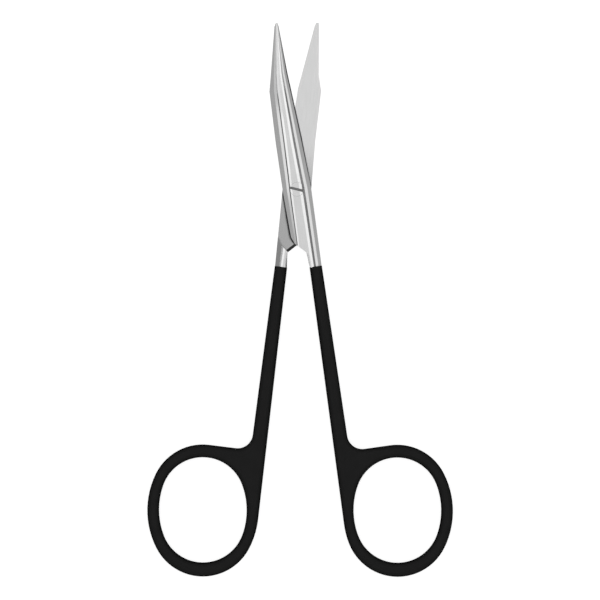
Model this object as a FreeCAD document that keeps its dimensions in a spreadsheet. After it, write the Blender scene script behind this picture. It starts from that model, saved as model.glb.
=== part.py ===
# Tenotomy scissors: two one-piece steel halves that cross at a slotted pivot screw.
#
# Both halves are drawn in the same closed frame: pivot axis on Z, mating face at
# z = 0, blade along +Y with its cutting edge towards +X, finger ring towards -Y
# and +X. The front half keeps that side up. The rear half is turned over about Y.
# The assembly lies flat on its rear half, opened by opening_angle.
import FreeCAD, Part

import math
import os

import Sketcher

DOCUMENT_NAME = "tenotomy_scissors"
OUTPUT_FOLDER = "parts"
CLOSE = 1e-4
FACET_TURN = 22.5
NARROW_FACETS = ("crease", "rounding", "strip")
# How far a cutting outline runs past the steel, and how much is ground off the screw's head.
CUT_REACH = 2.0
HEAD_STOCK = 0.3

# Driving dimensions in millimetres and degrees, one row for each cell of the sheet.
DIMENSIONS = (
    # Assembly
    ("opening_angle", 14.0, "angle between the halves as they lie"),
    ("half_thickness", 1.65, "thickness of one half at the joint"),
    # Stations along the blade and the joint, measured from the pivot axis
    ("tip_end_at", 34.1, "end of the blade tip"),
    ("tip_at", 33.3, "start of the blunted tip"),
    ("point_at", 23.6, "upper end of the shoulder, where the slim point starts"),
    ("shoulder_at", 20.4, "lower end of the shoulder"),
    ("root_at", 10.0, "where the blade starts to thin"),
    ("level_at", 3.2, "end of the level facet above the screw"),
    ("below_at", 3.4, "where the facet narrows again below the screw"),
    ("heel_at", 9.6, "upper end of the heel below the screw"),
    ("coat_at", 16.0, "line where the black coat starts"),
    ("neck_overlap", 0.15, "length of steel section inside the coated shank"),
    ("step_allowance", 0.50, "height of the lower layer above the step before it is cut"),
    # Thickness of one half above its mating face
    ("tip_end_top", 0.36, "at the end of the tip"),
    ("tip_top", 0.40, "at the blunted tip"),
    ("point_top", 0.95, "at the start of the slim point"),
    ("shoulder_top", 1.12, "at the shoulder"),
    ("root_top", 1.50, "where the blade starts to thin"),
    ("neck_top", 1.55, "half thickness of the bare neck"),
    # Central facet, as offsets from the centre line
    ("tip_flat", 0.08, "half width at the tip"),
    ("point_flat_back", 0.98, "towards the back, at the slim point"),
    ("point_flat_edge", -0.55, "towards the edge, at the slim point"),
    ("shoulder_flat_back", 1.02, "towards the back, at the shoulder"),
    ("shoulder_flat_edge", -0.48, "towards the edge, at the shoulder"),
    ("root_flat_back", 0.86, "towards the back, where the blade starts to thin"),
    ("root_flat_edge", -0.12, "towards the edge, where the blade starts to thin"),
    ("level_flat_back", 0.88, "towards the back, above the screw"),
    ("level_flat_edge", 0.28, "towards the edge, above the screw"),
    ("pivot_flat_back", 0.95, "towards the back, at the screw"),
    ("pivot_flat_edge", 0.49, "towards the edge, at the screw"),
    ("below_flat_back", 0.95, "towards the back, below the screw"),
    ("below_flat_edge", 0.62, "towards the edge, below the screw"),
    ("heel_flat_back", 0.93, "towards the back, at the heel"),
    ("heel_flat_edge", 0.80, "towards the edge, at the heel"),
    # Ground facets beside the central one: where each ends, as a share of the bevel's width
    ("back_crease_end", 0.20, "first facet towards the back"),
    ("back_rounding_end", 0.31, "second facet towards the back"),
    ("back_strip_end", 0.56, "third facet towards the back"),
    ("edge_crease_end", 0.24, "first facet towards the edge"),
    ("edge_rounding_end", 0.45, "second facet towards the edge"),
    ("edge_strip_end", 0.69, "third facet towards the edge"),
    # Slopes of those facets
    ("crease_slope", 5.0, "first facet"),
    ("rounding_slope", 14.0, "second facet"),
    ("strip_slope", 21.0, "third facet"),
    ("neck_strip_slope", 27.0, "third facet on the neck's other side"),
    ("back_slope", 27.0, "last facet towards the back"),
    ("edge_slope", 39.0, "last facet towards the edge"),
    # Cutting edge, tip and inner face
    ("edge_bevel", 0.24, "width of the bevel that makes the cutting edge"),
    ("tip_edge_bevel", 0.10, "width of that bevel at the tip"),
    ("tip_end_flat_share", 0.33, "share of the tip's end that the central facet takes"),
    ("tip_end_bevel_share", 0.17, "share of the tip's end that the edge bevel takes"),
    ("hollow_depth", 0.08, "depth of the hollow in the blade's inner face"),
    ("hollow_back_share", 0.70, "share of that depth at the back"),
    ("hollow_land_share", 0.12, "land between the hollow and the back, share of the width"),
    # Outline at the joint, shared by both halves
    ("pivot_back", 2.90, "back side at the pivot"),
    ("pivot_edge", 2.90, "edge side at the pivot"),
    ("heel_back", 2.36, "back side at the heel"),
    ("heel_corner_at", 10.30, "corner where the heel turns in"),
    ("crotch_offset", 0.33, "crotch corner, towards the ring side"),
    ("crotch_at", 12.95, "crotch corner below the pivot"),
    ("heel_corner_cut", 0.80, "length cut off each side of that corner"),
    ("heel_chamfer", 0.56, "chamfer along the heel on the mating face"),
    ("neck_chamfer", 0.30, "chamfer along the inner side of the neck"),
    ("step_outer", 3.30, "step on the mating face, outer end"),
    ("step_outer_at", 8.90, "outer end below the pivot"),
    ("step_bend", 1.85, "step on the mating face, bend"),
    ("step_bend_at", 11.60, "bend below the pivot"),
    ("step_inner", 0.30, "step on the mating face, at the crotch"),
    ("step_inner_at", 12.85, "at the crotch, below the pivot"),
    # Front half, offsets from the line through pivot and tip
    ("front_tip_end_back", 0.12, "back at the end of the tip"),
    ("front_tip_end_edge", 0.16, "edge at the end of the tip"),
    ("front_tip_back", 0.52, "back at the blunted tip"),
    ("front_tip_edge", 0.34, "edge at the blunted tip"),
    ("front_point_back", 2.45, "back at the slim point"),
    ("front_point_edge", 0.98, "edge at the slim point"),
    ("front_shoulder_back", 3.12, "back at the shoulder"),
    ("front_shoulder_edge", 1.30, "edge at the shoulder"),
    ("front_root_back", 3.13, "back where the blade starts to thin"),
    ("front_root_edge", 2.28, "edge where the blade starts to thin"),
    ("front_neck_centre", 1.88, "centre of the shank at the coat line"),
    ("front_neck_flat_width", 0.05, "neck's central facet beside its chamfer"),
    ("front_splay", 1.15, "outward lean of the shank"),
    ("front_ring_overlap", 1.86, "how far the ring's side reaches past the shank's axis"),
    ("front_ring_drop", 51.35, "centre of the ring below the coat line"),
    # Rear half, offsets from the line through pivot and tip
    ("rear_tip_end_back", 0.30, "back at the end of the tip"),
    ("rear_tip_end_edge", 0.20, "edge at the end of the tip"),
    ("rear_tip_back", 0.42, "back at the blunted tip"),
    ("rear_tip_edge", 0.48, "edge at the blunted tip"),
    ("rear_point_back", 1.57, "back at the slim point"),
    ("rear_point_edge", 1.82, "edge at the slim point"),
    ("rear_shoulder_back", 2.45, "back at the shoulder"),
    ("rear_shoulder_edge", 2.28, "edge at the shoulder"),
    ("rear_root_back", 2.50, "back where the blade starts to thin"),
    ("rear_root_edge", 2.60, "edge where the blade starts to thin"),
    ("rear_neck_centre", 1.30, "centre of the shank at the coat line"),
    ("rear_neck_flat_width", 0.59, "neck's central facet beside its chamfer"),
    ("rear_splay", 0.10, "outward lean of the shank"),
    ("rear_ring_overlap", 1.62, "how far the ring's side reaches past the shank's axis"),
    ("rear_ring_drop", 50.95, "centre of the ring below the coat line"),
    # Coated shank and finger ring
    ("shank_width", 2.52, "width at the coat line"),
    ("shank_thickness", 3.20, "thickness of shank and ring"),
    ("coat_step", 0.05, "how far the coat stands proud of the bare neck"),
    ("shank_inner_ring", 1.74, "inner side beside the ring, from the shank's axis"),
    ("shank_outer_ring", 1.46, "outer side at the crotch above the ring"),
    ("ring_crotch_radius", 3.10, "fillet between shank and ring"),
    ("ring_tilt", 7.60, "lean of the ring against the shank"),
    ("ring_hole_width", 17.80, "finger hole across"),
    ("ring_hole_length", 21.40, "finger hole along"),
    ("ring_hole_end_drop", 0.40, "half width less radius of the finger hole's end curves"),
    ("ring_band_side", 2.36, "band at the ring's side"),
    ("ring_band_end", 2.70, "band at the ring's ends"),
    ("ring_end_drop", 0.66, "half width less radius of the ring outline's end curves"),
    ("ring_sag", 0.12, "how much more of the band lies at the far end"),
    ("ring_rounding", 1.00, "rounding of shank and ring"),
    # Pivot screw
    ("screw_head_diameter", 2.80, "head"),
    ("screw_head_height", 0.80, "head"),
    ("screw_body_diameter", 2.00, "plain body inside the front half"),
    ("screw_thread_diameter", 1.70, "threaded end inside the rear half"),
    ("screw_clearance", 0.03, "running clearance on the radius and under the head"),
    ("slot_width", 0.50, "screwdriver slot"),
    ("slot_depth", 0.45, "screwdriver slot"),
    ("slot_angle", -14.0, "direction of the slot as it lies"),
)


def fill_sheet(document):
    """Write the driving dimensions into a sheet of aliased cells."""
    sheet = document.addObject("Spreadsheet::Sheet", "Dimensions")
    for number, (alias, value, meaning) in enumerate(DIMENSIONS, start=1):
        sheet.set(f"A{number}", meaning)
        sheet.set(f"B{number}", str(value))
        sheet.setAlias(f"B{number}", alias)
    document.recompute()
    return sheet


class Model:
    """The document with its sheet, and the steps that every body uses."""

    def __init__(self):
        self.document = FreeCAD.newDocument(DOCUMENT_NAME)
        self.sheet = fill_sheet(self.document)

    def value(self, expression):
        """Number that an expression on the sheet stands for."""
        result = self.sheet.evalExpression(expression)
        return float(getattr(result, "Value", result))

    def body(self, label):
        """Empty body with its own label."""
        body = self.document.addObject("PartDesign::Body", label)
        body.Label = label
        return body

    def sketch(self, body, name, role, offset=None, turn=None, turn_axis=(0, 0, 1)):
        """Empty sketch on one of the body's origin planes.

        offset holds expressions for the sketch's own x, y and z, turn one for its rotation
        about turn_axis, which is in the sketch's own directions too.
        """
        sketch = body.newObject("Sketcher::SketchObject", name)
        plane = next(item for item in body.Origin.OriginFeatures if item.Role == role)
        sketch.AttachmentSupport = [(plane, "")]
        sketch.MapMode = "FlatFace"
        for axis, expression in zip("xyz", offset or ()):
            sketch.setExpression(f".AttachmentOffset.Base.{axis}", expression)
        if turn:
            rotation = FreeCAD.Rotation(FreeCAD.Vector(*turn_axis), self.value(turn))
            sketch.AttachmentOffset = FreeCAD.Placement(sketch.AttachmentOffset.Base, rotation)
            sketch.setExpression(".AttachmentOffset.Rotation.Angle", turn)
        self.document.recompute()
        return sketch

    def hold(self, sketch, kind, geometry, point, expression):
        """Tie one coordinate of a point, measured from the sketch's origin, to the sheet."""
        number = self.value(expression)
        index = sketch.addConstraint(Sketcher.Constraint(kind, -1, 1, geometry, point, number))
        sketch.setExpression(f"Constraints[{index}]", expression)

    def hold_radius(self, sketch, geometry, expression):
        """Tie the radius of an arc or a circle to the sheet."""
        index = sketch.addConstraint(
            Sketcher.Constraint("Radius", geometry, self.value(expression))
        )
        sketch.setExpression(f"Constraints[{index}]", expression)

    def polygon(self, sketch, corners):
        """Closed polygon whose corners are pairs of expressions."""
        points = [FreeCAD.Vector(self.value(x), self.value(y), 0) for x, y in corners]
        count = len(points)
        for index, point in enumerate(points):
            sketch.addGeometry(Part.LineSegment(point, points[(index + 1) % count]))
        for index in range(count):
            sketch.addConstraint(
                Sketcher.Constraint("Coincident", index, 2, (index + 1) % count, 1)
            )
        for index, (x, y) in enumerate(corners):
            self.hold(sketch, "DistanceX", index, 1, x)
            self.hold(sketch, "DistanceY", index, 1, y)

    def circle(self, sketch, radius):
        """Circle about the sketch's origin."""
        circle = Part.Circle(FreeCAD.Vector(0, 0, 0), FreeCAD.Vector(0, 0, 1), self.value(radius))
        index = sketch.addGeometry(circle)
        sketch.addConstraint(Sketcher.Constraint("Coincident", index, 3, -1, 1))
        self.hold_radius(sketch, index, radius)

    def pocket(self, body, name, sketch, through=False, upwards=False, both=False, length=None):
        """Pocket that has to take material away."""
        before = body.Tip.Shape.Volume
        pocket = body.newObject("PartDesign::Pocket", name)
        pocket.Profile = sketch
        pocket.Type = "ThroughAll" if through else "Length"
        pocket.Reversed = upwards
        if both:
            pocket.SideType = "Symmetric"
        if length:
            pocket.setExpression("Length", length)
        self.document.recompute()
        if pocket.Shape.Volume > before - CLOSE:
            raise RuntimeError(f"{name} cuts nothing")
        return pocket

    def dress(self, body, kind, name, edges, size_name, size):
        """Fillet or chamfer on edges of the body's last feature."""
        base = body.Tip
        feature = body.newObject(kind, name)
        feature.Base = (base, [f"Edge{number}" for number in edges])
        feature.setExpression(size_name, size)
        self.document.recompute()
        return feature


def d(alias):
    """Expression for one cell of the sheet."""
    return f"Dimensions.{alias}"


def between(first, second, first_at, second_at, at):
    """Expression on the straight line between two stations."""
    return f"({first} + ({second} - ({first})) * ({at} - ({first_at})) / ({second_at} - ({first_at})))"


def neck_inner(half):
    """Expression for the inner side of the bare neck at the coat line."""
    return f"({d(half + '_neck_centre')} - {d('shank_width')} / 2 + {d('coat_step')})"


def stations(half):
    """Sections of the blade and joint, from the tip down to inside the shank.

    Offsets towards the back are positive here and point to -X in the section.
    """
    def own(alias):
        return d(f"{half}_{alias}")

    neck_at = f"(-{d('coat_at')} - {d('neck_overlap')})"
    neck_edge = f"({own('neck_centre')} + {d('shank_width')} / 2 - {d('coat_step')})"
    neck_flat_edge = f"({neck_inner(half)} + {d('neck_chamfer')} + {own('neck_flat_width')})"
    root_at = d("root_at")
    level_at = d("level_at")
    below_at = f"(-{d('below_at')})"
    heel_at = f"(-{d('heel_at')})"
    joint_top = d("half_thickness")

    def lower_edge(at):
        return between(d("pivot_edge"), neck_edge, "0", neck_at, at)

    def row(at, back, edge, flat_back, flat_edge, top, bevel="0", hollow="0"):
        return dict(at=at, back=back, edge=edge, flat_back=flat_back, flat_edge=flat_edge,
                    top=top, bevel=bevel, hollow=hollow)

    end_back = own("tip_end_back")
    end_edge = own("tip_end_edge")
    end_share = d("tip_end_flat_share")
    level_back = between(own("root_back"), d("pivot_back"), root_at, "0", level_at)
    level_edge = between(own("root_edge"), d("pivot_edge"), root_at, "0", level_at)
    below_back = between(d("pivot_back"), d("heel_back"), "0", heel_at, below_at)
    return [
        row(d("tip_end_at"), end_back, end_edge, f"{end_back} * {end_share}",
            f"{end_edge} * {end_share}", d("tip_end_top"),
            f"{end_edge} * {d('tip_end_bevel_share')}"),
        row(d("tip_at"), own("tip_back"), own("tip_edge"), d("tip_flat"), d("tip_flat"),
            d("tip_top"), d("tip_edge_bevel")),
        row(d("point_at"), own("point_back"), own("point_edge"), d("point_flat_back"),
            d("point_flat_edge"), d("point_top"), d("edge_bevel"), d("hollow_depth")),
        row(d("shoulder_at"), own("shoulder_back"), own("shoulder_edge"),
            d("shoulder_flat_back"), d("shoulder_flat_edge"), d("shoulder_top"),
            d("edge_bevel"), d("hollow_depth")),
        row(root_at, own("root_back"), own("root_edge"), d("root_flat_back"),
            d("root_flat_edge"), d("root_top"), d("edge_bevel")),
        row(level_at, level_back, level_edge, d("level_flat_back"),
            d("level_flat_edge"), joint_top, f"{d('edge_bevel')} / 2"),
        row("0", d("pivot_back"), d("pivot_edge"), d("pivot_flat_back"),
            d("pivot_flat_edge"), joint_top),
        row(below_at, below_back, lower_edge(below_at), d("below_flat_back"),
            d("below_flat_edge"), joint_top),
        row(heel_at, d("heel_back"), lower_edge(heel_at), d("heel_flat_back"),
            d("heel_flat_edge"), joint_top),
        row(neck_at, d("heel_back"), neck_edge, d("heel_flat_back"), neck_flat_edge,
            d("neck_top")),
    ]


def facet_corners(row, side):
    """Corners of the ground facets in one section, from the back's side wall to the edge's."""
    top = row["top"]

    def flank_corners(start, outer, flank):
        """Corners from the central facet out to the side wall."""
        width = f"abs({outer} - ({start}))"
        stops = [d(f"{flank}_{name}_end") for name in NARROW_FACETS] + ["1"]
        slopes = [d(f"{name}_slope") for name in (*NARROW_FACETS, flank)]
        if side < 0:
            slopes[-2] = d("neck_strip_slope")
        corners = [(f"({start})", f"({side} * {top})")]
        share = "0"
        drop = "0"
        for stop, slope in zip(stops, slopes):
            drop = f"({drop} + ({stop} - {share}) * tan({slope}))"
            share = stop
            corners.append((f"({start}) + ({outer} - ({start})) * {share}",
                            f"({side} * ({top} - {width} * {drop}))"))
        return corners

    back_facets = flank_corners(f"-({row['flat_back']})", f"(-({row['back']}))", "back")
    bevel_edge = f"({row['edge']} - {row['bevel']})"
    return back_facets[::-1] + flank_corners(row["flat_edge"], bevel_edge, "edge")


def section_corners(row, side):
    """Corners of one section, going round from the mating face at the back.

    side is 1 for the layer above the mating face and -1 for the layer below it.
    """
    back = f"(-({row['back']}))"
    edge = f"({row['edge']})"
    hollow = f"({side} * {row['hollow']})"
    corners = [(back, f"{hollow} * {d('hollow_back_share')}")]
    corners += facet_corners(row, side)
    corners += [(edge, "0")]
    corners += [(f"{back} + ({edge} - {back}) * {d('hollow_land_share')}", hollow)]
    return corners


def loft(model, body, name, rows, side):
    """Solid through straight-sided sections, with crisp facets between them."""
    sketches = []
    for number, row in enumerate(rows):
        offset = ("0", "0", f"-({row['at']})")
        sketch = model.sketch(body, f"{name}_section_{number}", "XZ_Plane", offset)
        model.polygon(sketch, section_corners(row, side))
        sketches.append(sketch)
    model.document.recompute()
    feature = body.newObject("PartDesign::AdditiveLoft", name)
    feature.Profile = sketches[0]
    feature.Sections = sketches[1:]
    feature.Ruled = True
    model.document.recompute()
    return feature


def oval_values(half_width, half_length, end_radius):
    """Expression for the side radius of an oval made of four tangent arcs."""
    reach = f"({half_length} - {end_radius})"
    return (
        f"(({half_width} ^ 2 + {reach} ^ 2 - {end_radius} ^ 2)"
        f" / (2 * ({half_width} - {end_radius})))"
    )


def oval_arcs(model, sketch, centre, tilt, half_width, half_length, end_radius, closed=True):
    """Four arcs of a tilted oval: far end, outer side, near end and shank side.

    Returns the numbers of the arcs. They are not yet joined or held. An oval that
    isn't closed leaves out the corner between its near end and its shank side.
    """
    centre_x, centre_y = (model.value(item) for item in centre)
    lean = math.radians(model.value(tilt))
    along = FreeCAD.Vector(math.sin(lean), math.cos(lean), 0)
    across = FreeCAD.Vector(math.cos(lean), -math.sin(lean), 0)
    middle = FreeCAD.Vector(centre_x, centre_y, 0)
    small = model.value(end_radius)
    large = model.value(oval_values(half_width, half_length, end_radius))
    reach = model.value(half_length) - small
    shift = large - model.value(half_width)
    spread = math.asin(reach / (large - small))
    near_stop = math.pi - spread - lean if closed else math.pi / 2
    side_start = math.pi - spread - lean if closed else math.pi
    plans = (
        (middle - along * reach, small, math.pi + spread - lean, 2 * math.pi - spread - lean),
        (middle - across * shift, large, -spread - lean, spread - lean),
        (middle + along * reach, small, spread - lean, near_stop),
        (middle + across * shift, large, side_start, math.pi + spread - lean),
    )
    numbers = []
    for place, radius, start, stop in plans:
        circle = Part.Circle(place, FreeCAD.Vector(0, 0, 1), radius)
        numbers.append(sketch.addGeometry(Part.ArcOfCircle(circle, start, stop)))
    return numbers


def hold_ends(model, sketch, numbers, centre, tilt, half_length, end_radius):
    """Hold the centres and radii of an oval's two end arcs."""
    reach = f"({half_length} - {end_radius})"
    for number, sign in ((numbers[0], "-"), (numbers[2], "+")):
        model.hold(sketch, "DistanceX", number, 3, f"{centre[0]} {sign} {reach} * sin({tilt})")
        model.hold(sketch, "DistanceY", number, 3, f"{centre[1]} {sign} {reach} * cos({tilt})")
        model.hold_radius(sketch, number, end_radius)


def join_smooth(sketch, first, first_point, second, second_point):
    """Join two ends so that they run on into each other."""
    sketch.addConstraint(
        Sketcher.Constraint("Tangent", first, first_point, second, second_point)
    )


def ring_half_width():
    """Expression for half the width of the ring's outline."""
    return f"({d('ring_hole_width')} / 2 + {d('ring_band_side')})"


def ring_centre(half, sag="0"):
    """Expressions for the ring's centre beside and below the shank's start."""
    return (f"({ring_half_width()} - {d(half + '_ring_overlap')})",
            f"(-{d(half + '_ring_drop')} - {sag})")


def handle_outline(model, sketch, half):
    """Outline of shank and ring, with the shank's axis down the sketch's -y."""
    half_width = ring_half_width()
    half_length = f"({d('ring_hole_length')} / 2 + {d('ring_band_end')})"
    end_radius = f"({half_width} - {d('ring_end_drop')})"
    tilt = d("ring_tilt")
    centre = ring_centre(half, d("ring_sag"))
    side_radius = oval_values(half_width, half_length, end_radius)

    arcs = oval_arcs(model, sketch, centre, tilt, half_width, half_length, end_radius,
                     closed=False)
    far_end, outer_side, near_end, shank_side = arcs
    top = sketch.Geometry[near_end].Center + FreeCAD.Vector(0, model.value(end_radius), 0)
    start_left = FreeCAD.Vector(-model.value(d("shank_width")) / 2, 0, 0)
    start_right = FreeCAD.Vector(-start_left.x, 0, 0)
    radius = model.value(d("ring_crotch_radius"))
    crotch_x = model.value(d("shank_outer_ring"))
    crotch_centre = FreeCAD.Vector(crotch_x + radius, top.y + radius, 0)
    side_point = FreeCAD.Vector(
        -model.value(d("shank_inner_ring")), sketch.Geometry[shank_side].Center.y, 0
    )

    inner_line = sketch.addGeometry(Part.LineSegment(start_left, side_point))
    web_line = sketch.addGeometry(
        Part.LineSegment(top, crotch_centre - FreeCAD.Vector(0, radius, 0))
    )
    crotch_circle = Part.Circle(crotch_centre, FreeCAD.Vector(0, 0, 1), radius)
    crotch = sketch.addGeometry(Part.ArcOfCircle(crotch_circle, math.pi, 1.5 * math.pi))
    outer_line = sketch.addGeometry(
        Part.LineSegment(crotch_centre - FreeCAD.Vector(radius, 0, 0), start_right)
    )
    end_line = sketch.addGeometry(Part.LineSegment(start_right, start_left))

    join_smooth(sketch, inner_line, 2, shank_side, 1)
    join_smooth(sketch, shank_side, 2, far_end, 1)
    join_smooth(sketch, far_end, 2, outer_side, 1)
    join_smooth(sketch, outer_side, 2, near_end, 1)
    join_smooth(sketch, near_end, 2, web_line, 1)
    join_smooth(sketch, web_line, 2, crotch, 2)
    join_smooth(sketch, crotch, 1, outer_line, 1)
    sketch.addConstraint(Sketcher.Constraint("Coincident", outer_line, 2, end_line, 1))
    sketch.addConstraint(Sketcher.Constraint("Coincident", end_line, 2, inner_line, 1))

    hold_ends(model, sketch, arcs, centre, tilt, half_length, end_radius)
    model.hold_radius(sketch, outer_side, side_radius)
    model.hold_radius(sketch, shank_side, side_radius)
    model.hold_radius(sketch, crotch, d("ring_crotch_radius"))
    sketch.addConstraint(Sketcher.Constraint("Horizontal", web_line))
    model.hold(sketch, "DistanceX", inner_line, 1, f"-{d('shank_width')} / 2")
    model.hold(sketch, "DistanceY", inner_line, 1, "0")
    model.hold(sketch, "DistanceX", outer_line, 2, f"{d('shank_width')} / 2")
    model.hold(sketch, "DistanceY", outer_line, 2, "0")
    model.hold(sketch, "DistanceX", inner_line, 2, f"-{d('shank_inner_ring')}")
    model.hold(sketch, "DistanceX", outer_line, 1, d("shank_outer_ring"))


def ring_hole(model, sketch, half):
    """Oval finger hole."""
    half_width = f"({d('ring_hole_width')} / 2)"
    half_length = f"({d('ring_hole_length')} / 2)"
    end_radius = f"({half_width} - {d('ring_hole_end_drop')})"
    tilt = d("ring_tilt")
    centre = ring_centre(half)
    arcs = oval_arcs(model, sketch, centre, tilt, half_width, half_length, end_radius)
    for first, second in zip(arcs, arcs[1:] + arcs[:1]):
        join_smooth(sketch, first, 2, second, 1)
    hold_ends(model, sketch, arcs, centre, tilt, half_length, end_radius)
    side_radius = oval_values(half_width, half_length, end_radius)
    model.hold_radius(sketch, arcs[1], side_radius)
    model.hold_radius(sketch, arcs[3], side_radius)


def soften_hole(model, body, half, hole):
    """Round both rims of the finger hole with three facets each."""
    centres = [hole.Placement.multVec(arc.Center) for arc in hole.Geometry]
    level = model.value(d("shank_thickness")) / 2
    rounding = d("ring_rounding")
    first_cut = f"{rounding} * (1 - tan({FACET_TURN}))"
    second_cut = f"{rounding} * (tan({FACET_TURN}) - tan({FACET_TURN} / 2))"

    def rim_edges(top_only):
        numbers = []
        for number, edge in enumerate(body.Tip.Shape.Edges, start=1):
            if edge.Curve.TypeId != "Part::GeomCircle":
                continue
            centre = edge.Curve.Center
            height = abs(centre.z)
            centre.z = 0
            own = any(centre.distanceToPoint(item) < CLOSE for item in centres)
            if own and not (top_only and abs(height - level) > CLOSE):
                numbers.append(number)
        return numbers

    model.dress(body, "PartDesign::Chamfer", f"{half}_hole_chamfer", rim_edges(True),
                "Size", first_cut)
    model.dress(body, "PartDesign::Chamfer", f"{half}_hole_softening", rim_edges(False),
                "Size", second_cut)


def handle(model, half):
    """Coated shank and finger ring of one half, rounded all round."""
    body = model.body(f"{half}_handle")
    offset = (d(f"{half}_neck_centre"), f"-{d('coat_at')}", "0")
    turn = d(f"{half}_splay")

    outline = model.sketch(body, f"{half}_handle_outline", "XY_Plane", offset, turn)
    handle_outline(model, outline, half)
    pad = body.newObject("PartDesign::Pad", f"{half}_handle_pad")
    pad.Profile = outline
    pad.SideType = "Symmetric"
    pad.setExpression("Length", d("shank_thickness"))
    model.document.recompute()

    frame = outline.Placement.inverse()
    level = model.value(d("shank_thickness")) / 2
    edges = []
    for number, edge in enumerate(body.Tip.Shape.Edges, start=1):
        points = [frame.multVec(vertex.Point) for vertex in edge.Vertexes]
        flat = all(abs(abs(point.z) - level) < CLOSE for point in points)
        at_end = all(abs(point.y) < CLOSE for point in points)
        if flat and not at_end:
            edges.append(number)
    model.dress(body, "PartDesign::Fillet", f"{half}_handle_rounding", edges,
                "Radius", d("ring_rounding"))

    hole = model.sketch(body, f"{half}_ring_hole_outline", "XY_Plane", offset, turn)
    ring_hole(model, hole, half)
    model.document.recompute()
    model.pocket(body, f"{half}_ring_hole", hole, through=True, both=True)
    soften_hole(model, body, half, hole)
    return body


def heel_line():
    """Two corners of the slanting heel, as expressions: below its cut corner, and the crotch."""
    run_x = f"({d('crotch_offset')} + {d('heel_back')})"
    run_y = f"({d('heel_corner_at')} - {d('crotch_at')})"
    share = f"({d('heel_corner_cut')} / sqrt({run_x} ^ 2 + {run_y} ^ 2))"
    start = (f"-{d('heel_back')} + {run_x} * {share}",
             f"-{d('heel_corner_at')} + {run_y} * {share}")
    end = (d("crotch_offset"), f"-{d('crotch_at')}")
    return start, end


def edges_on_line(model, body, start, end, levels):
    """Numbers of the edges that lie above a line in plan, between two levels."""
    first, last = (FreeCAD.Vector(*(model.value(item) for item in place), 0)
                   for place in (start, end))
    low, high = sorted(model.value(item) for item in levels)
    numbers = []
    for number, edge in enumerate(body.Tip.Shape.Edges, start=1):
        ends = [vertex.Point for vertex in edge.Vertexes]
        if not all(low - CLOSE < point.z < high + CLOSE for point in ends):
            continue
        in_plan = [FreeCAD.Vector(point.x, point.y, 0) for point in ends]
        if all(point.distanceToLineSegment(first, last).Length < CLOSE for point in in_plan):
            numbers.append(number)
    return numbers


def half_body(model, half):
    """One half: blade, joint, neck, shank and ring in one piece."""
    body = model.body(f"{half}_half")
    rows = stations(half)

    # Layer on the mating face's own side, from the tip down into the shank.
    loft(model, body, f"{half}_blade", rows, 1)

    # Layer across the mating face, which starts below the joint.
    top_row = dict(rows[-2])
    top_row["at"] = f"(-{d('step_outer_at')} + {d('step_allowance')})"
    top_row["edge"] = between(d("pivot_edge"), rows[-1]["edge"], "0", rows[-1]["at"],
                              top_row["at"])
    loft(model, body, f"{half}_neck", [top_row, rows[-1]], -1)

    # Heel and inner side of the neck, cut through both layers.
    neck_at = rows[-1]["at"]
    inner_side = neck_inner(half)
    reach = CUT_REACH
    outside = f"(-{d('heel_back')} - {reach})"
    past_neck = f"{neck_at} - {reach}"
    corner_start = f"-{d('heel_corner_at')} + {d('heel_corner_cut')}"
    heel_start, heel_end = heel_line()
    heel = model.sketch(body, f"{half}_heel_outline", "XY_Plane")
    model.polygon(heel, [
        (outside, corner_start),
        (f"-{d('heel_back')}", corner_start),
        heel_start,
        heel_end,
        (inner_side, f"-{d('coat_at')}"),
        (inner_side, past_neck),
        (outside, past_neck),
    ])
    model.document.recompute()
    model.pocket(body, f"{half}_heel", heel, through=True, both=True)

    # Room below the mating face for the other half, down to the step.
    step_top = f"-{d('step_outer_at')} + {reach}"
    step_right = f"{d('step_outer')} + {reach}"
    run_out_x = f"2 * {d('step_inner')} - {d('step_bend')}"
    run_out_y = f"{d('step_bend_at')} - 2 * {d('step_inner_at')}"
    step = model.sketch(body, f"{half}_step_outline", "XY_Plane")
    model.polygon(step, [
        (step_right, step_top),
        (step_right, f"-{d('step_outer_at')}"),
        (d("step_outer"), f"-{d('step_outer_at')}"),
        (d("step_bend"), f"-{d('step_bend_at')}"),
        (run_out_x, run_out_y),
        (outside, run_out_y),
        (outside, step_top),
    ])
    model.document.recompute()
    model.pocket(body, f"{half}_step", step, length=f"2 * {d('half_thickness')}")

    # Chamfers along the heel, on the mating face, and along the neck on both outer faces.
    heel_edges = edges_on_line(model, body, heel_start, heel_end, ("0", "0"))
    model.dress(body, "PartDesign::Chamfer", f"{half}_heel_chamfer", heel_edges,
                "Size", d("heel_chamfer"))
    neck_line = (heel_end, (inner_side, f"-{d('coat_at')}"))
    upper = (d("neck_top"), d("half_thickness"))
    lower = tuple(f"(-{item})" for item in upper)
    neck_edges = [number for levels in (upper, lower)
                  for number in edges_on_line(model, body, *neck_line, levels)]
    model.dress(body, "PartDesign::Chamfer", f"{half}_neck_chamfer", neck_edges,
                "Size", d("neck_chamfer"))

    handle_body = handle(model, half)
    fuse = body.newObject("PartDesign::Boolean", f"{half}_handle_join")
    fuse.setObjects([handle_body])
    fuse.Type = "Fuse"
    model.document.recompute()
    return body


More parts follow.
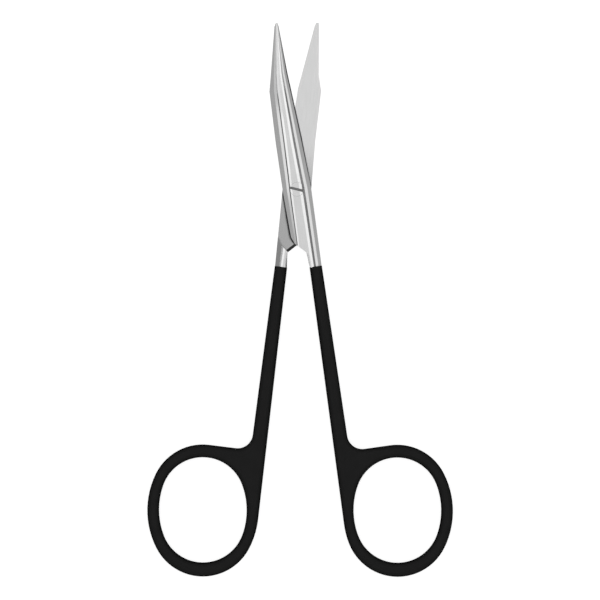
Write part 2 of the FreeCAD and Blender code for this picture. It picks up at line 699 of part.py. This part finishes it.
def screw_holes(model, front, rear):
    """Counterbored running hole in the front half, tapped hole in the rear one."""
    bore = model.sketch(front, "front_bore_outline", "XY_Plane")
    model.circle(bore, f"{d('screw_body_diameter')} / 2 + {d('screw_clearance')}")
    model.pocket(front, "front_bore", bore, through=True, upwards=True)

    seat = model.sketch(front, "front_seat_outline", "XY_Plane",
                        ("0", "0", d("half_thickness")))
    model.circle(seat, f"{d('screw_head_diameter')} / 2 + {d('screw_clearance')}")
    model.pocket(front, "front_seat", seat,
                 length=f"{d('screw_head_height')} + {d('screw_clearance')}")

    tapped = model.sketch(rear, "rear_bore_outline", "XY_Plane")
    model.circle(tapped, f"{d('screw_thread_diameter')} / 2")
    model.pocket(rear, "rear_bore", tapped, through=True, upwards=True)


def pivot_screw(model):
    """Slotted screw, ground flush with both outer faces, standing on z = 0."""
    body = model.body("pivot_screw")
    top = f"(2 * {d('half_thickness')})"
    head_under = f"({top} - {d('screw_head_height')})"
    stock_top = f"({top} + {HEAD_STOCK})"
    profile = model.sketch(body, "screw_profile", "XZ_Plane")
    model.polygon(profile, [
        ("0", "0"),
        (f"{d('screw_thread_diameter')} / 2", "0"),
        (f"{d('screw_thread_diameter')} / 2", d("half_thickness")),
        (f"{d('screw_body_diameter')} / 2", d("half_thickness")),
        (f"{d('screw_body_diameter')} / 2", head_under),
        (f"{d('screw_head_diameter')} / 2", head_under),
        (f"{d('screw_head_diameter')} / 2", stock_top),
        ("0", stock_top),
    ])
    model.document.recompute()
    turned = body.newObject("PartDesign::Revolution", "screw_turned")
    turned.Profile = profile
    turned.ReferenceAxis = (profile, ["V_Axis"])
    turned.Angle = 360
    model.document.recompute()

    # The head is ground together with the facets of the front half.
    grind = model.sketch(body, "screw_grind_outline", "XZ_Plane",
                         ("0", d("half_thickness"), "0"), f"{d('opening_angle')} / 2",
                         (0, 1, 0))
    facets = facet_corners(next(row for row in stations("front") if row["at"] == "0"), 1)
    above = f"{d('half_thickness')} + {CUT_REACH}"
    model.polygon(grind, facets + [(facets[-1][0], above), (facets[0][0], above)])
    model.document.recompute()
    model.pocket(body, "screw_grind", grind, through=True, both=True)

    slot = model.sketch(body, "screw_slot_outline", "XY_Plane", ("0", "0", top),
                        d("slot_angle"))
    reach = f"{d('screw_head_diameter')} / 2 + {CUT_REACH}"
    width = f"{d('slot_width')} / 2"
    model.polygon(slot, [
        (f"-({reach})", f"-{width}"),
        (reach, f"-{width}"),
        (reach, width),
        (f"-({reach})", width),
    ])
    model.document.recompute()
    model.pocket(body, "screw_slot", slot, length=d("slot_depth"))
    return body


def place(model, front, rear):
    """Lay the halves on each other, opened about the pivot."""
    half_angle = model.value(d("opening_angle")) / 2
    level = FreeCAD.Vector(0, 0, model.value(d("half_thickness")))
    upright = FreeCAD.Vector(0, 0, 1)
    along_blade = FreeCAD.Vector(0, 1, 0)
    front.Placement = FreeCAD.Placement(level, FreeCAD.Rotation(upright, half_angle))
    turned_over = FreeCAD.Rotation(along_blade, 180)
    rear.Placement = FreeCAD.Placement(
        level, FreeCAD.Rotation(upright, -half_angle).multiply(turned_over)
    )


def check(model, pieces):
    """Stop if anything in the document failed or a piece isn't one sound solid."""
    for item in model.document.Objects:
        if {"Invalid", "Error"} & set(item.State):
            raise RuntimeError(f"{item.Label} failed: {item.State}")
    for piece in pieces:
        shape = piece.Shape
        if shape.isNull() or not shape.isValid() or len(shape.Solids) != 1:
            raise RuntimeError(f"{piece.Label} is not one valid solid")


def main():
    model = Model()
    front = half_body(model, "front")
    rear = half_body(model, "rear")
    screw_holes(model, front, rear)
    screw = pivot_screw(model)
    place(model, front, rear)
    model.document.recompute()
    pieces = (front, rear, screw)
    check(model, pieces)
    os.makedirs(OUTPUT_FOLDER, exist_ok=True)
    for piece in pieces:
        piece.Shape.exportStep(os.path.join(OUTPUT_FOLDER, f"{piece.Label}.step"))
        print(piece.Label, round(piece.Shape.Volume, 3), piece.Shape.BoundBox)


main()
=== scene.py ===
import math

import bpy
from mathutils import Matrix, Vector

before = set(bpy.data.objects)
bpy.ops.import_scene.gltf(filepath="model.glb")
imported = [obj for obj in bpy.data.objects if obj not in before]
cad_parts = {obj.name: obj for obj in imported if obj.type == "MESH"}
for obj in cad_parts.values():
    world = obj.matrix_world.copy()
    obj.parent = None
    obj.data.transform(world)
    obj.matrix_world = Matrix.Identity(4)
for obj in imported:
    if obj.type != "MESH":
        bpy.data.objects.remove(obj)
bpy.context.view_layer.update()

# Tenotomy scissors of bright ground steel with black coated shanks and rings,
# lying open on a pale floor and seen from straight above. Lengths are in metres,
# except places inside a material, which are in millimetres.
MM = 0.001

# How each half lies: its closed frame turned by lean, and turned over for the rear one.
# The coat's edge crosses the shank's middle, neck, squarely to its splay.
MATING_LEVEL = 1.65 * MM
HALVES = {
    "front_half": {"lean": math.radians(7), "over": False, "neck": 1.88 * MM, "splay": math.radians(1.15)},
    "rear_half": {"lean": math.radians(-7), "over": True, "neck": 1.30 * MM, "splay": math.radians(0.10)},
}
COAT_AT = 16.0 * MM
COAT_SLACK = 0.01 * MM

# The mating face, which is slightly hollow.
FACE_SLACK = 0.12 * MM
FACE_DOWN = -0.9

# Facets with a finish of their own, in the half's closed frame: the spans in which their
# outward normal leans across the blade and upwards, and in which they lie along it. The
# neck's facets here are those beside the mating face, which the rear half shows. The edge,
# heel and neck side facets are darker as painted shade, and the back facets in stretches
# along the blade.
FULL = 1.01
TIP = 40.0 * MM
HEEL_START = -9.0 * MM
HEEL_END = -12.5 * MM
NECK_START = -10.0 * MM
NECK_END = -16.2 * MM
FACETS = {
    "edge": ((0.7, FULL), (0.02, 0.6), (0.0, TIP)),
    "heel": ((-FULL, -0.2), (-FULL, -0.3), (HEEL_END, HEEL_START)),
    "back_strip": ((-0.42, -0.30), (0.9, FULL), (HEEL_END, TIP)),
    "back_line": ((-0.30, -0.15), (0.9, FULL), (HEEL_END, TIP)),
    "back_light": ((-0.15, -0.05), (0.9, FULL), (HEEL_END, TIP)),
    "edge_line": ((0.18, 0.30), (0.9, FULL), (HEEL_END, TIP)),
    "neck_side": ((0.4, 0.75), (-0.95, -0.6), (NECK_END, NECK_START)),
    "neck_line": ((0.15, 0.35), (-FULL, -0.93), (NECK_END, NECK_START)),
}

# The slot in the screw's head.
SLOT_REACH = 1.36 * MM
SLOT_FLOOR = 2.80 * MM
SLOT_SLACK = 0.15 * MM
SLOT_WALL = 0.5

# The steels: their brightness and roughness, and how far close surfaces darken them with
# painted shade. The heel, neck side, edge and slot steels are darker than the rest as painted
# shade, and the mating face is darker towards the joint.
GROUND = {"base": 0.79, "roughness": 0.12, "shade": 0.55}
HEEL = {"base": 0.08, "roughness": 0.35, "shade": 0.6}
NECK_SIDE = {"base": 0.50, "roughness": 0.12, "shade": 0.55}
NECK_LINE = {"base": 0.79, "roughness": 0.36, "shade": 0.55}
EDGE = {"base": 0.03, "joint_base": 0.35, "roughness": 0.35}
MATING = {"base": 0.80, "joint_share": 0.6, "roughness": 0.14}
TURNED = {"base": 0.79, "roughness": 0.12}
SLOT = {"base": 0.26, "roughness": 0.3}

# Fine scratches along the blade: how many lie in a millimetre across, along and into it,
# their depth, the brightness in them, and how far the roughness varies with them. Grain and
# patches are also given per millimetre.
GROUND_SCRATCHES = {"per_mm": (7.0, 0.3, 7.0), "depth": 0.0005 * MM, "darkest": 0.97, "spread": 0.15}
EDGE_SCRATCHES = {"per_mm": (7.0, 1.0, 7.0), "depth": 0.0004 * MM, "darkest": 0.9, "spread": 0.1}
MATING_SCRATCHES = {"per_mm": (6.0, 0.3, 6.0), "depth": 0.0004 * MM, "darkest": 0.97, "spread": 0.15}
GROUND_PATCH = 0.35
GROUND_PATCH_DARKEST = 0.98

# Changes along the blade: between two places, in millimetres, the factor on the brightness
# (painted shade) or on the roughness (rubs) goes from its first value to its last.
BACK_STRIP_SHADE = ((15.0, 19.0, 1.0, 0.72), (-4.0, 1.0, 0.74, 1.0), (-11.0, -5.0, 0.80, 1.0))
BACK_LINE_SHADE = ((6.0, 9.0, 0.5, 1.0),)
BACK_LINE_RUBS = ((18.0, 21.0, 1.0, 3.0),)
BACK_LIGHT_SHADE = ((14.0, 17.0, 1.0, 0.80),)
EDGE_RUBS = ((-4.0, -1.0, 0.68, 1.0), (12.0, 16.0, 1.6, 1.0), (18.0, 23.0, 1.0, 2.5))
# Spans over which the edge's painted shade and the mating face's darkening change from the brightness at
# the joint to their own.
EDGE_SHADE_SPAN = (0.0, 8.0)
MATING_FADE = (-2.0, 10.0)

# The spans of noise that are used, and the detail of a fine one.
NOISE = (0.3, 0.7)
WIDE_NOISE = (0.25, 0.75)
FINE_DETAIL = 3.0

# Shade where surfaces stand close: how many directions are tried, and how far it reaches
# in corners and along contact lines. A contact line is darkest and clear at these shares
# of open directions, behind and ahead of the screw, and it is wider towards the heel.
OPEN_SAMPLES = 8
CORNER_REACH = 0.5 * MM
CONTACT_REACH = 0.6 * MM
CONTACT_CHANGE = (-2.0, 2.0)
CONTACT_DARKEST = (0.69, 0.56)
CONTACT_CLEAR = (0.89, 0.76)
CONTACT_WIDER = (-6.5, -4.0, 0.07, 0.0)
CONTACT_LEVEL = 0.04
MATING_CORNERS = (0.4, 0.9, 0.6, 1.0)

# The coat: its grain and patches, and how brightness and sheen rise with the normal's
# upward part, from a rounded side to a flat one; the lower brightness on the sides is
# painted shade.
COAT_GRAIN = 9.0
COAT_PATCH = 0.4
COAT_DEPTH = 0.002 * MM
COAT_LEVEL = (0.0066, 0.0088)
COAT_PATCH_LEVEL = (0.92, 1.06)
COAT_ROUGHNESS = (0.42, 0.52)
COAT_SIDE_SHADE = (0.3, 0.98, 0.15, 1.0)
COAT_SHEEN = (0.5, 0.98, 0.0, 0.12)

# The screw's turned rings.
RINGS_PER_MM = 60.0
RING_DARKEST = 0.96
RING_ROUGHEST = 1.2
SCREW_SHADE = 0.6

# The light that the steel mirrors: zenith angle in degrees and brightness.
SKY = (
    (0.0, 0.79),
    (8.5, 0.79),
    (10.0, 1.22),
    (17.5, 1.22),
    (20.5, 0.20),
    (34.0, 0.20),
    (38.0, 0.95),
    (46.0, 0.95),
    (49.5, 0.34),
    (53.0, 0.46),
    (90.0, 0.46),
)
SKY_PEAK = 1.25

LAMP_HEIGHT = 1.2
LAMP_SIZE = 1.2
LAMP_POWER = 6.0

FLOOR_SIZE = 6.0
FLOOR_DROP = 0.02 * MM
FLOOR_GLOW = 0.80
FLOOR_GRAIN = 0.8
FLOOR_LEVEL = (0.38, 0.39)

# The camera sees 600 pixels of this size at the mating face's level.
CAMERA_LENS = 500.0
CAMERA_SENSOR = 36.0
CLIP_FACTOR = 100
PIXEL = 0.2031 * MM
PIXELS = 600
CAMERA_X = 0.625 * MM
CAMERA_Y = -22.465 * MM


class Finish:
    """A node material that is built up step by step."""

    def __init__(self, name):
        self.material = bpy.data.materials.new(name)
        self.material.use_nodes = True
        self.tree = self.material.node_tree
        self.shader = self.tree.nodes["Principled BSDF"]

    def add(self, kind, settings=None, inputs=None):
        """New node with its settings; inputs are sockets to link or plain values."""
        node = self.tree.nodes.new(kind)
        for key, value in (settings or {}).items():
            setattr(node, key, value)
        for key, value in (inputs or {}).items():
            self.feed(node, key, value)
        return node

    def feed(self, node, key, value):
        """Link a socket to an input, or set the input to a value."""
        if isinstance(value, bpy.types.NodeSocket):
            self.tree.links.new(value, node.inputs[key])
        else:
            node.inputs[key].default_value = value

    def math(self, operation, first, second=0.0):
        """Result of one sum."""
        node = self.add("ShaderNodeMath", {"operation": operation}, {0: first, 1: second})
        return node.outputs[0]

    def times(self, first, second):
        """Product of two values."""
        return self.math("MULTIPLY", first, second)

    def span(self, value, low, high, to_low, to_high):
        """A value mapped smoothly from one span to another."""
        inputs = {"Value": value, "From Min": low, "From Max": high, "To Min": to_low, "To Max": to_high}
        node = self.add("ShaderNodeMapRange", {"interpolation_type": "SMOOTHSTEP"}, inputs)
        return node.outputs["Result"]

    def shaded_and_rubbed(self, value, along, shade_and_rubbing):
        """A value times a factor for each stretch along the blade: painted shade on a brightness, a rubbed
        change on a roughness.
        """
        for stretch in shade_and_rubbing:
            value = self.times(value, self.span(along, *stretch))
        return value

    def place(self, turn=0.0, stretch=(1.0, 1.0, 1.0)):
        """Place on the object, in millimetres, turned about Z and then stretched."""
        object_place = self.add("ShaderNodeTexCoord").outputs["Object"]
        turned = self.add("ShaderNodeMapping", {}, {"Vector": object_place, "Rotation": (0.0, 0.0, turn)})
        scale = tuple(item / MM for item in stretch)
        return self.add("ShaderNodeMapping", {}, {"Vector": turned.outputs[0], "Scale": scale}).outputs[0]

    def noise(self, vector, scale, detail=2.0):
        """Noise between 0 and 1."""
        node = self.add("ShaderNodeTexNoise", {}, {"Vector": vector, "Scale": scale, "Detail": detail})
        return node.outputs["Fac"]

    def open_share(self, reach, own_only=False):
        """Share of the directions that are open, 1 where nothing stands close."""
        settings = {"samples": OPEN_SAMPLES, "only_local": own_only}
        return self.add("ShaderNodeAmbientOcclusion", settings, {"Distance": reach}).outputs["AO"]

    def corner_shade(self, strength):
        """Factor that falls where other surfaces stand close."""
        return self.span(self.open_share(CORNER_REACH), 0.0, 1.0, 1.0 - strength, 1.0)

    def contact_shadow(self, along):
        """Painted shadow: a factor that is low in a line where another piece stands on this one, wider
        behind the screw.
        """
        share = self.math("DIVIDE", self.open_share(CONTACT_REACH), self.open_share(CONTACT_REACH, True))
        wider = self.span(along, *CONTACT_WIDER)
        darkest = self.math("ADD", self.span(along, *CONTACT_CHANGE, *CONTACT_DARKEST), wider)
        clear = self.math("ADD", self.span(along, *CONTACT_CHANGE, *CONTACT_CLEAR), wider)
        return self.span(share, darkest, clear, CONTACT_LEVEL, 1.0)

    def grey(self, factor):
        """Neutral colour from a factor, into the base colour."""
        node = self.add("ShaderNodeCombineColor", {}, {"Red": factor, "Green": factor, "Blue": factor})
        self.feed(self.shader, "Base Color", node.outputs[0])

    def relief(self, height, depth):
        """Fine relief from a height between 0 and 1."""
        node = self.add("ShaderNodeBump", {}, {"Height": height, "Distance": depth, "Strength": 1.0})
        self.feed(self.shader, "Normal", node.outputs[0])


class ScratchedSteel(Finish):
    """Steel with fine scratches along the blade, which leans in the frame."""

    def __init__(self, name, lean, per_mm, depth, darkest, spread):
        super().__init__(name)
        self.feed(self.shader, "Metallic", 1.0)
        self.darkest = darkest
        self.spread = spread
        self.scratches = self.noise(self.place(-lean, per_mm), 1.0, FINE_DETAIL)
        self.along = self.add("ShaderNodeSeparateXYZ", {}, {0: self.place(-lean)}).outputs["Y"]
        self.relief(self.scratches, depth)

    def scratched(self, base=1.0):
        """Brightness that is lower in the scratches."""
        return self.span(self.scratches, *NOISE, base * self.darkest, base)

    def rough(self, roughness, rubs=()):
        """Roughness that varies with the scratches."""
        low, high = roughness * (1.0 - self.spread), roughness * (1.0 + self.spread)
        varied = self.span(self.scratches, *WIDE_NOISE, low, high)
        self.feed(self.shader, "Roughness", self.shaded_and_rubbed(varied, self.along, rubs))


def ground_steel(name, lean, base, roughness, shade, painted_shades=(), rubs=()):
    """Ground steel with painted shade in corners and in stretches along the blade, and its roughness
    changed in rubbed stretches.
    """
    finish = ScratchedSteel(name, lean, **GROUND_SCRATCHES)
    patches = finish.noise(finish.place(-lean), GROUND_PATCH)
    level = finish.times(finish.scratched(base), finish.span(patches, *NOISE, GROUND_PATCH_DARKEST, 1.0))
    # Painted shade in stretches along the blade.
    level = finish.shaded_and_rubbed(level, finish.along, painted_shades)
    # Painted shade where other surfaces stand close.
    finish.grey(finish.times(level, finish.corner_shade(shade)))
    finish.rough(roughness, rubs)
    return finish.material


def edge_steel(name, lean, base, joint_base, roughness):
    """Bevel of the cutting edge with painted shade: nearly black along the blade, and less dark where it
    ends at the joint.
    """
    finish = ScratchedSteel(name, lean, **EDGE_SCRATCHES)
    # Painted shade, less dark at the joint than along the blade.
    level = finish.span(finish.along, *EDGE_SHADE_SPAN, joint_base, base)
    finish.grey(finish.times(level, finish.scratched()))
    finish.rough(roughness)
    return finish.material


def mating_steel(name, lean, base, joint_share, roughness):
    """Lapped inner face, darker towards the joint, with a painted shadow where the other half stands on it
    and painted shade in its corners.
    """
    finish = ScratchedSteel(name, lean, **MATING_SCRATCHES)
    level = finish.span(finish.along, *MATING_FADE, base * joint_share, base)
    level = finish.times(level, finish.scratched())
    # Painted shadow along the line where the other half stands on this face.
    level = finish.times(level, finish.contact_shadow(finish.along))
    # Painted shade in the face's corners.
    corners = finish.span(finish.open_share(CONTACT_REACH, True), *MATING_CORNERS)
    finish.grey(finish.times(level, corners))
    finish.rough(roughness)
    return finish.material


def black_coat(name):
    """Matt black coat with a fine grain, darker on the rounded sides as painted shade."""
    finish = Finish(name)
    normal = finish.add("ShaderNodeNewGeometry").outputs["Normal"]
    upright = finish.add("ShaderNodeSeparateXYZ", {}, {0: normal}).outputs["Z"]
    facing = finish.math("ABSOLUTE", upright)
    grain = finish.noise(finish.place(), COAT_GRAIN, FINE_DETAIL)
    patches = finish.noise(finish.place(), COAT_PATCH)
    level = finish.span(grain, *NOISE, *COAT_LEVEL)
    level = finish.times(level, finish.span(patches, *NOISE, *COAT_PATCH_LEVEL))
    # Painted shade on the rounded sides.
    finish.grey(finish.times(level, finish.span(facing, *COAT_SIDE_SHADE)))
    finish.feed(finish.shader, "Roughness", finish.span(grain, *NOISE, *COAT_ROUGHNESS))
    finish.feed(finish.shader, "Specular IOR Level", finish.span(facing, *COAT_SHEEN))
    finish.relief(grain, COAT_DEPTH)
    return finish.material


def screw_steel(name, base, roughness):
    """Turned steel, with rings about the screw's axis."""
    finish = Finish(name)
    finish.feed(finish.shader, "Metallic", 1.0)
    flat = finish.place(0.0, (1.0, 1.0, 0.0))
    from_axis = finish.add("ShaderNodeVectorMath", {"operation": "LENGTH"}, {0: flat}).outputs["Value"]
    rings = finish.math("SINE", finish.times(from_axis, RINGS_PER_MM))
    level = finish.span(rings, -1.0, 1.0, base * RING_DARKEST, base)
    finish.grey(finish.times(level, finish.corner_shade(SCREW_SHADE)))
    rough = finish.span(rings, -1.0, 1.0, roughness, roughness * RING_ROUGHEST)
    finish.feed(finish.shader, "Roughness", rough)
    return finish.material


def floor_finish(name):
    """Pale floor that is white to the eye and in the steel, and keeps the soft shadow."""
    finish = Finish(name)
    paper = finish.noise(finish.place(), FLOOR_GRAIN)
    finish.grey(finish.span(paper, *NOISE, *FLOOR_LEVEL))
    finish.feed(finish.shader, "Roughness", 1.0)
    finish.feed(finish.shader, "Specular IOR Level", 0.0)
    path = finish.add("ShaderNodeLightPath")
    seen = finish.math("MAXIMUM", path.outputs["Is Camera Ray"], path.outputs["Is Glossy Ray"])
    seen = finish.math("MAXIMUM", seen, path.outputs["Is Transmission Ray"])
    finish.feed(finish.shader, "Emission Color", (1.0, 1.0, 1.0, 1.0))
    finish.feed(finish.shader, "Emission Strength", finish.times(seen, FLOOR_GLOW))
    return finish.material


def closed_frame(half):
    """Turn from the frame as it lies to the half's own closed frame."""
    turn = Matrix.Rotation(-half["lean"], 4, "Z")
    lower = Matrix.Translation((0.0, 0.0, -MATING_LEVEL))
    over = Matrix.Diagonal((-1.0, 1.0, -1.0, 1.0)) if half["over"] else Matrix.Identity(4)
    return over @ turn @ lower


def surface_kind(half, centre, normal):
    """Which finish a polygon has, from its place and direction in the closed frame."""
    below = Vector((math.sin(half["splay"]), -math.cos(half["splay"])))
    from_neck = Vector((centre.x - half["neck"], centre.y + COAT_AT))
    if from_neck.dot(below) > -COAT_SLACK:
        return "coat"
    if abs(centre.z) < FACE_SLACK and normal.z < FACE_DOWN:
        return "mating"
    for kind, spans in FACETS.items():
        facts = zip((normal.x, normal.z, centre.y), spans)
        if all(low < value < high for value, (low, high) in facts):
            return kind
    return "ground"


def dress_half(name, half):
    """Give a half its finishes."""
    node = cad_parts[name]
    lean = half["lean"]
    # The edge, heel and neck side steels are darker than the ground steel as painted shade, and the back
    # strip, back line and back light steels in stretches along the blade.
    finishes = {
        "ground": ground_steel(f"{name}_ground_steel", lean, **GROUND),
        "back_strip": ground_steel(f"{name}_back_strip_steel", lean, **GROUND, painted_shades=BACK_STRIP_SHADE),
        "back_line": ground_steel(
            f"{name}_back_line_steel", lean, **GROUND, painted_shades=BACK_LINE_SHADE, rubs=BACK_LINE_RUBS
        ),
        "back_light": ground_steel(f"{name}_back_light_steel", lean, **GROUND, painted_shades=BACK_LIGHT_SHADE),
        "edge_line": ground_steel(f"{name}_edge_line_steel", lean, **GROUND, rubs=EDGE_RUBS),
        "mating": mating_steel(f"{name}_mating_steel", lean, **MATING),
        "edge": edge_steel(f"{name}_edge_steel", lean, **EDGE),
        "heel": ground_steel(f"{name}_heel_steel", lean, **HEEL),
        "neck_side": ground_steel(f"{name}_neck_side_steel", lean, **NECK_SIDE),
        "neck_line": ground_steel(f"{name}_neck_line_steel", lean, **NECK_LINE),
        "coat": black_coat(f"{name}_black_coat"),
    }
    node.data.materials.clear()
    for finish in finishes.values():
        node.data.materials.append(finish)
    numbers = {kind: number for number, kind in enumerate(finishes)}
    to_closed = closed_frame(half)
    turn = to_closed.to_3x3()
    for polygon in node.data.polygons:
        kind = surface_kind(half, to_closed @ polygon.center, turn @ polygon.normal)
        polygon.material_index = numbers[kind]
        polygon.use_smooth = True


def in_slot(polygon):
    """Whether a polygon of the screw is a wall or the floor of its slot."""
    centre = polygon.center
    near = centre.xy.length < SLOT_REACH and centre.z > SLOT_FLOOR
    is_wall = abs(polygon.normal.z) < SLOT_WALL
    is_floor = centre.z < SLOT_FLOOR + SLOT_SLACK
    return near and (is_wall or is_floor)


def dress_screw():
    """Give the screw its finishes."""
    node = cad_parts["pivot_screw"]
    node.data.materials.clear()
    node.data.materials.append(screw_steel("screw_turned_steel", **TURNED))
    # The slot's steel is darker than the turned steel as painted shade.
    node.data.materials.append(screw_steel("screw_slot_steel", **SLOT))
    for polygon in node.data.polygons:
        polygon.material_index = 1 if in_slot(polygon) else 0
        polygon.use_smooth = True


def lay_floor():
    """Plain pale floor just under the scissors."""
    bpy.ops.mesh.primitive_plane_add(size=FLOOR_SIZE, location=(0.0, 0.0, -FLOOR_DROP))
    floor = bpy.context.object
    floor.name = "floor"
    floor.data.materials.append(floor_finish("floor_paper"))


def light_sky():
    """World light that changes with the angle from straight above."""
    world = bpy.data.worlds.new("studio")
    bpy.context.scene.world = world
    world.use_nodes = True
    tree = world.node_tree
    background = tree.nodes["Background"]
    direction = tree.nodes.new("ShaderNodeTexCoord")
    parts = tree.nodes.new("ShaderNodeSeparateXYZ")
    angle = tree.nodes.new("ShaderNodeMath")
    angle.operation = "ARCCOSINE"
    share = tree.nodes.new("ShaderNodeMath")
    share.operation = "DIVIDE"
    share.inputs[1].default_value = math.pi / 2
    share.use_clamp = True
    ramp = tree.nodes.new("ShaderNodeValToRGB")
    tree.links.new(direction.outputs["Generated"], parts.inputs[0])
    tree.links.new(parts.outputs["Z"], angle.inputs[0])
    tree.links.new(angle.outputs[0], share.inputs[0])
    tree.links.new(share.outputs[0], ramp.inputs[0])
    stops = ramp.color_ramp.elements
    while len(stops) < len(SKY):
        stops.new(0.5)
    for stop, (zenith, brightness) in zip(stops, SKY):
        stop.position = zenith / 90
        level = brightness / SKY_PEAK
        stop.color = (level, level, level, 1.0)
    tree.links.new(ramp.outputs[0], background.inputs["Color"])
    background.inputs["Strength"].default_value = SKY_PEAK


def hang_lamp():
    """Soft lamp overhead that fills up matt surfaces."""
    data = bpy.data.lights.new("overhead", "AREA")
    data.size = LAMP_SIZE
    data.energy = LAMP_POWER
    lamp = bpy.data.objects.new("overhead", data)
    lamp.location = (0.0, 0.0, LAMP_HEIGHT)
    lamp.visible_glossy = False
    bpy.context.scene.collection.objects.link(lamp)


def set_camera():
    """Camera straight above the scissors, with the blades up in the picture."""
    data = bpy.data.cameras.new("camera")
    data.lens = CAMERA_LENS
    data.sensor_width = CAMERA_SENSOR
    camera = bpy.data.objects.new("camera", data)
    distance = PIXEL * PIXELS * CAMERA_LENS / CAMERA_SENSOR
    camera.location = (CAMERA_X, CAMERA_Y, MATING_LEVEL + distance)
    data.clip_start = distance / CLIP_FACTOR
    data.clip_end = distance * CLIP_FACTOR
    bpy.context.scene.collection.objects.link(camera)
    bpy.context.scene.camera = camera


for half_name, half_facts in HALVES.items():
    dress_half(half_name, half_facts)
dress_screw()
lay_floor()
light_sky()
hang_lamp()
set_camera()
bpy.context.scene.view_settings.view_transform = "Standard"
